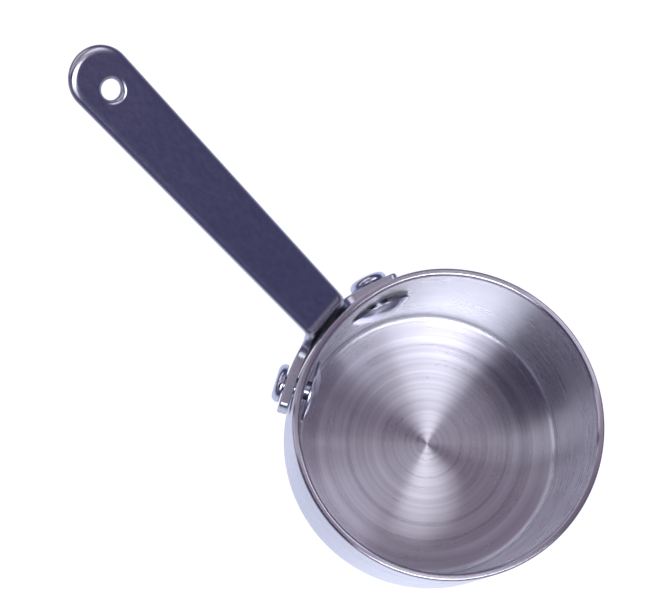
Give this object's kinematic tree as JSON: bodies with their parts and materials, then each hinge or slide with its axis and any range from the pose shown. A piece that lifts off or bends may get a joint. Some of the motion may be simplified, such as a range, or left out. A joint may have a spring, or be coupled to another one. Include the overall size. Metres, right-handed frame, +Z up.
{
  "type": "mini saucepan",
  "caption": "Small round straight-sided steel saucepan with a long rising strip handle, riveted on by a T-shaped bracket and pierced to hang.",
  "frame": {"origin": "middle of the pan's flat underside", "axes": "+Z up out of the pan, +X out along the handle, +Y to the left seen from the pan looking along the handle"},
  "size_m": [0.1823, 0.09, 0.1105],
  "materials": {
    "pan_steel": "turned satin, with fine concentric lines on the floor and round the wall",
    "handle_steel": "tumbled satin with rounded bright edges",
    "rivet_steel": "polished heads"
  },
  "bodies": {
    "root": {"pan_body": "pan_steel", "handle": "handle_steel", "rivet_left": "rivet_steel", "rivet_right": "rivet_steel"}
  },
  "joints": []
}
